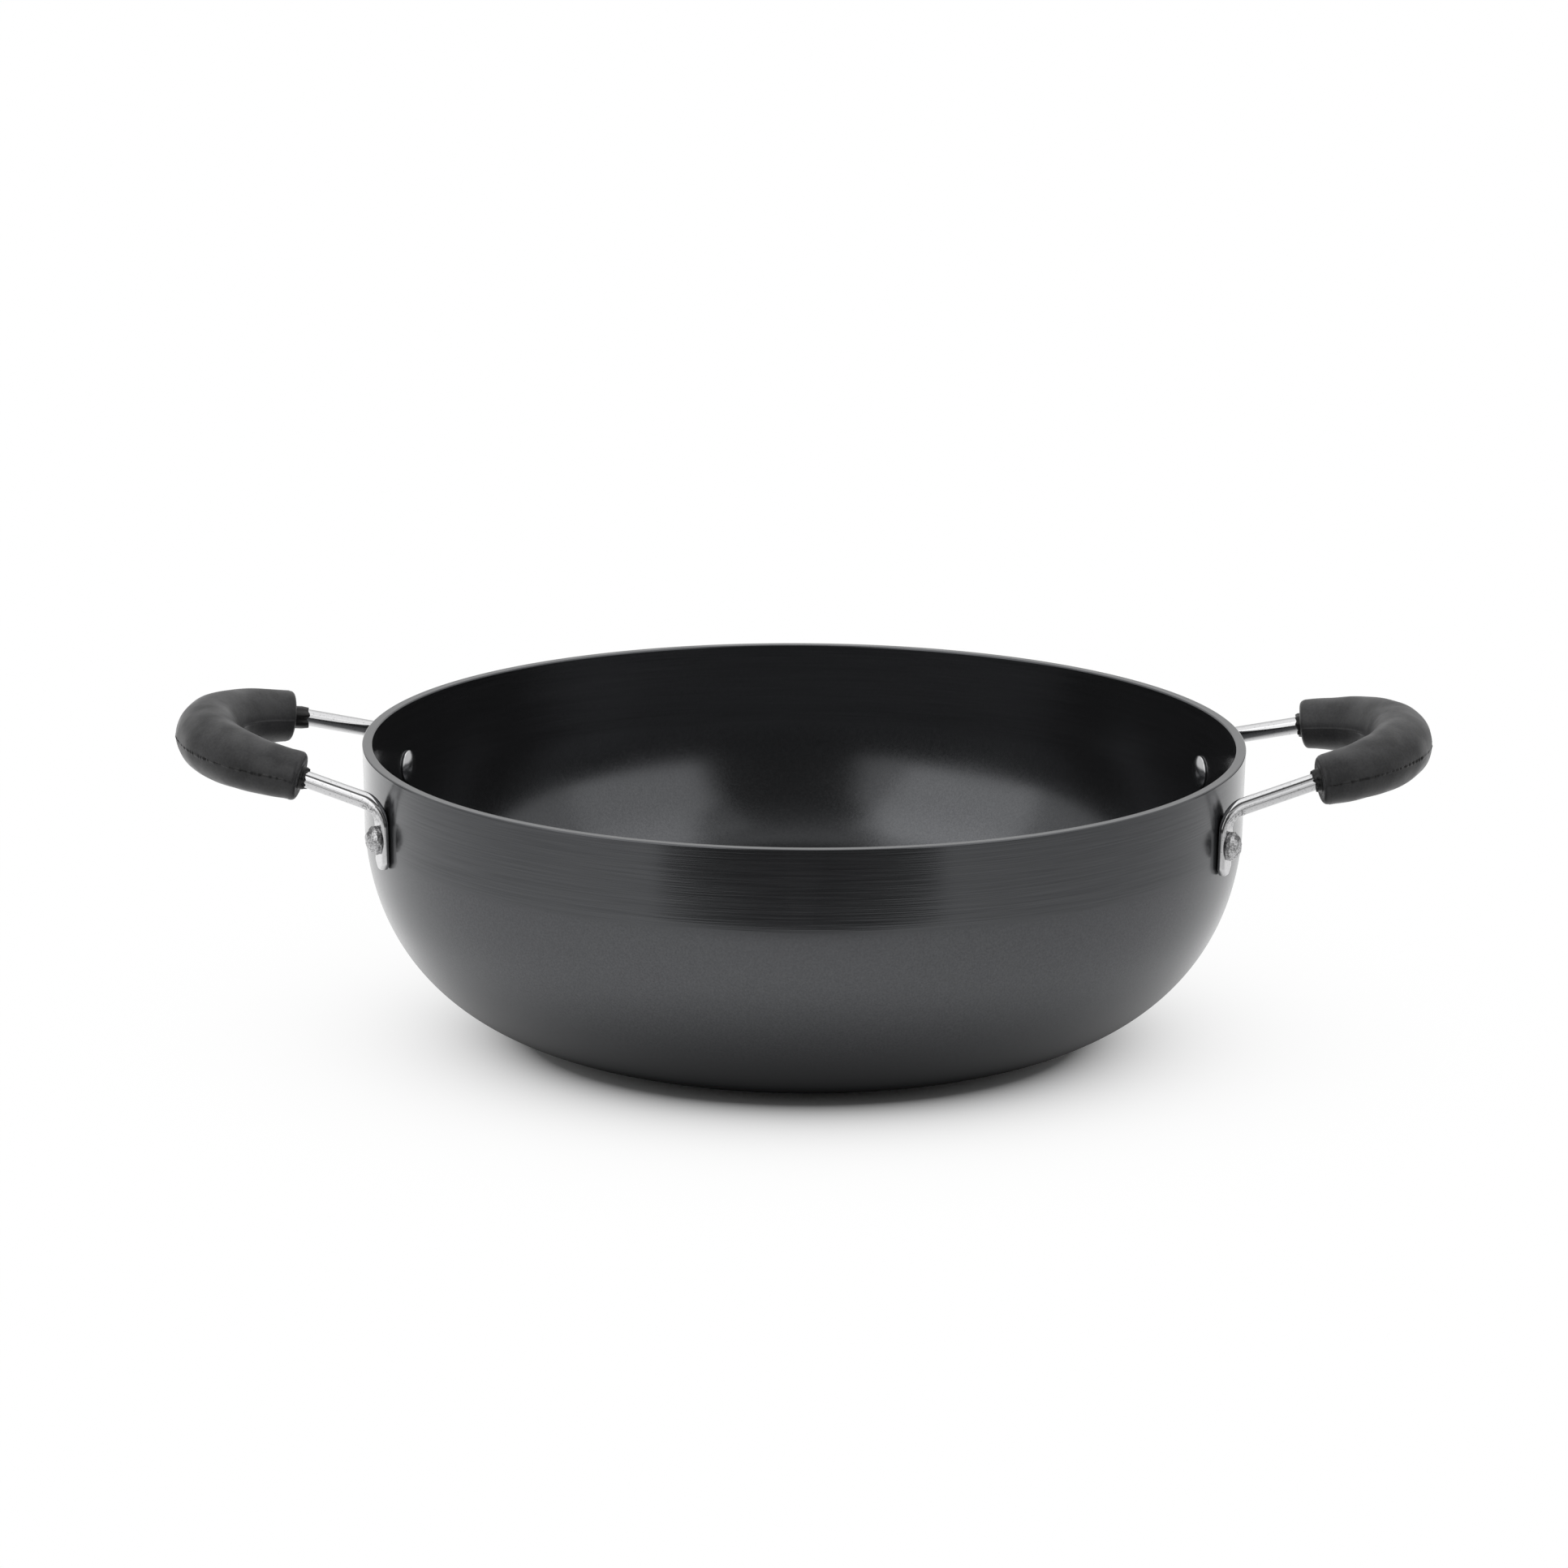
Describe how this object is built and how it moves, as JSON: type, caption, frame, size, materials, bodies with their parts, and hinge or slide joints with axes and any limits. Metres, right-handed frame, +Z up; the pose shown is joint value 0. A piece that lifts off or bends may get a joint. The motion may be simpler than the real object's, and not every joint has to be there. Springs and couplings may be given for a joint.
{
  "type": "kadai",
  "caption": "Deep round cooking bowl with a flat base, a straight band under its rim, and riveted bent-rod loop handles with moulded grips, for frying and simmering.",
  "frame": {"origin": "middle of the flat base, on the surface that the pan stands on", "axes": "+Z up, +X towards the right handle, -Y towards the viewer of the picture"},
  "size_m": [0.3694, 0.26, 0.0988],
  "materials": {
    "anodised_aluminium": "satin hard anodised, lathe-brushed band under the rim",
    "handle_steel": "bright plated",
    "grip_rubber": "matte moulded",
    "rivet_aluminium": "hammered outside, polished inside"
  },
  "bodies": {
    "root": {"bowl": "anodised_aluminium", "handle_rod_left": "handle_steel", "handle_rod_right": "handle_steel", "grip_left": "grip_rubber", "grip_right": "grip_rubber", "rivet_left_front": "rivet_aluminium", "rivet_left_back": "rivet_aluminium", "rivet_right_front": "rivet_aluminium", "rivet_right_back": "rivet_aluminium"}
  },
  "joints": []
}
